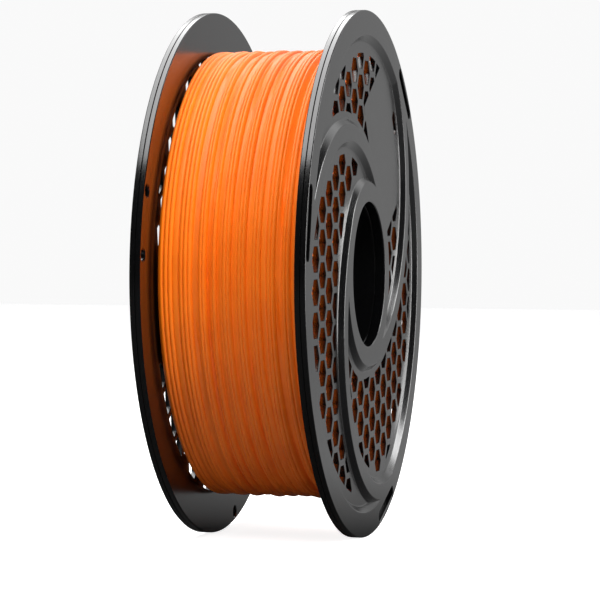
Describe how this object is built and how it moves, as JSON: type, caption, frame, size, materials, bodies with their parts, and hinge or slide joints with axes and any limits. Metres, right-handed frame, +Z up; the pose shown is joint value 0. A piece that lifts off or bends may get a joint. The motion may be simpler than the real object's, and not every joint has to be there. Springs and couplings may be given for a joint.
{
  "type": "filament spool",
  "caption": "Spool of 3D printer filament: two recessed honeycomb flanges on a webbed hub barrel with a through bore, wound nearly full of filament.",
  "frame": {"origin": "centre of the bore, half way between the two flanges", "axes": "+Y along the spool's axis, out of the near flange's outer face; +Z up as the spool stands on its rims; +X across the rims"},
  "size_m": [0.2, 0.063, 0.2],
  "materials": {
    "barrel_plastic": "satin",
    "filament": "gloss",
    "flange_plastic": "satin"
  },
  "bodies": {
    "barrel": {"hub_barrel": "barrel_plastic", "filament": "filament"},
    "near_flange": {"near_flange": "flange_plastic"},
    "far_flange": {"far_flange": "flange_plastic"}
  },
  "joints": [
    {"name": "near_flange_pull", "type": "slide", "parent": "barrel", "child": "near_flange", "axis": [0, 1, 0], "range_m": [0, 0.012]},
    {"name": "far_flange_pull", "type": "slide", "parent": "barrel", "child": "far_flange", "axis": [0, -1, 0], "range_m": [0, 0.012]}
  ]
}
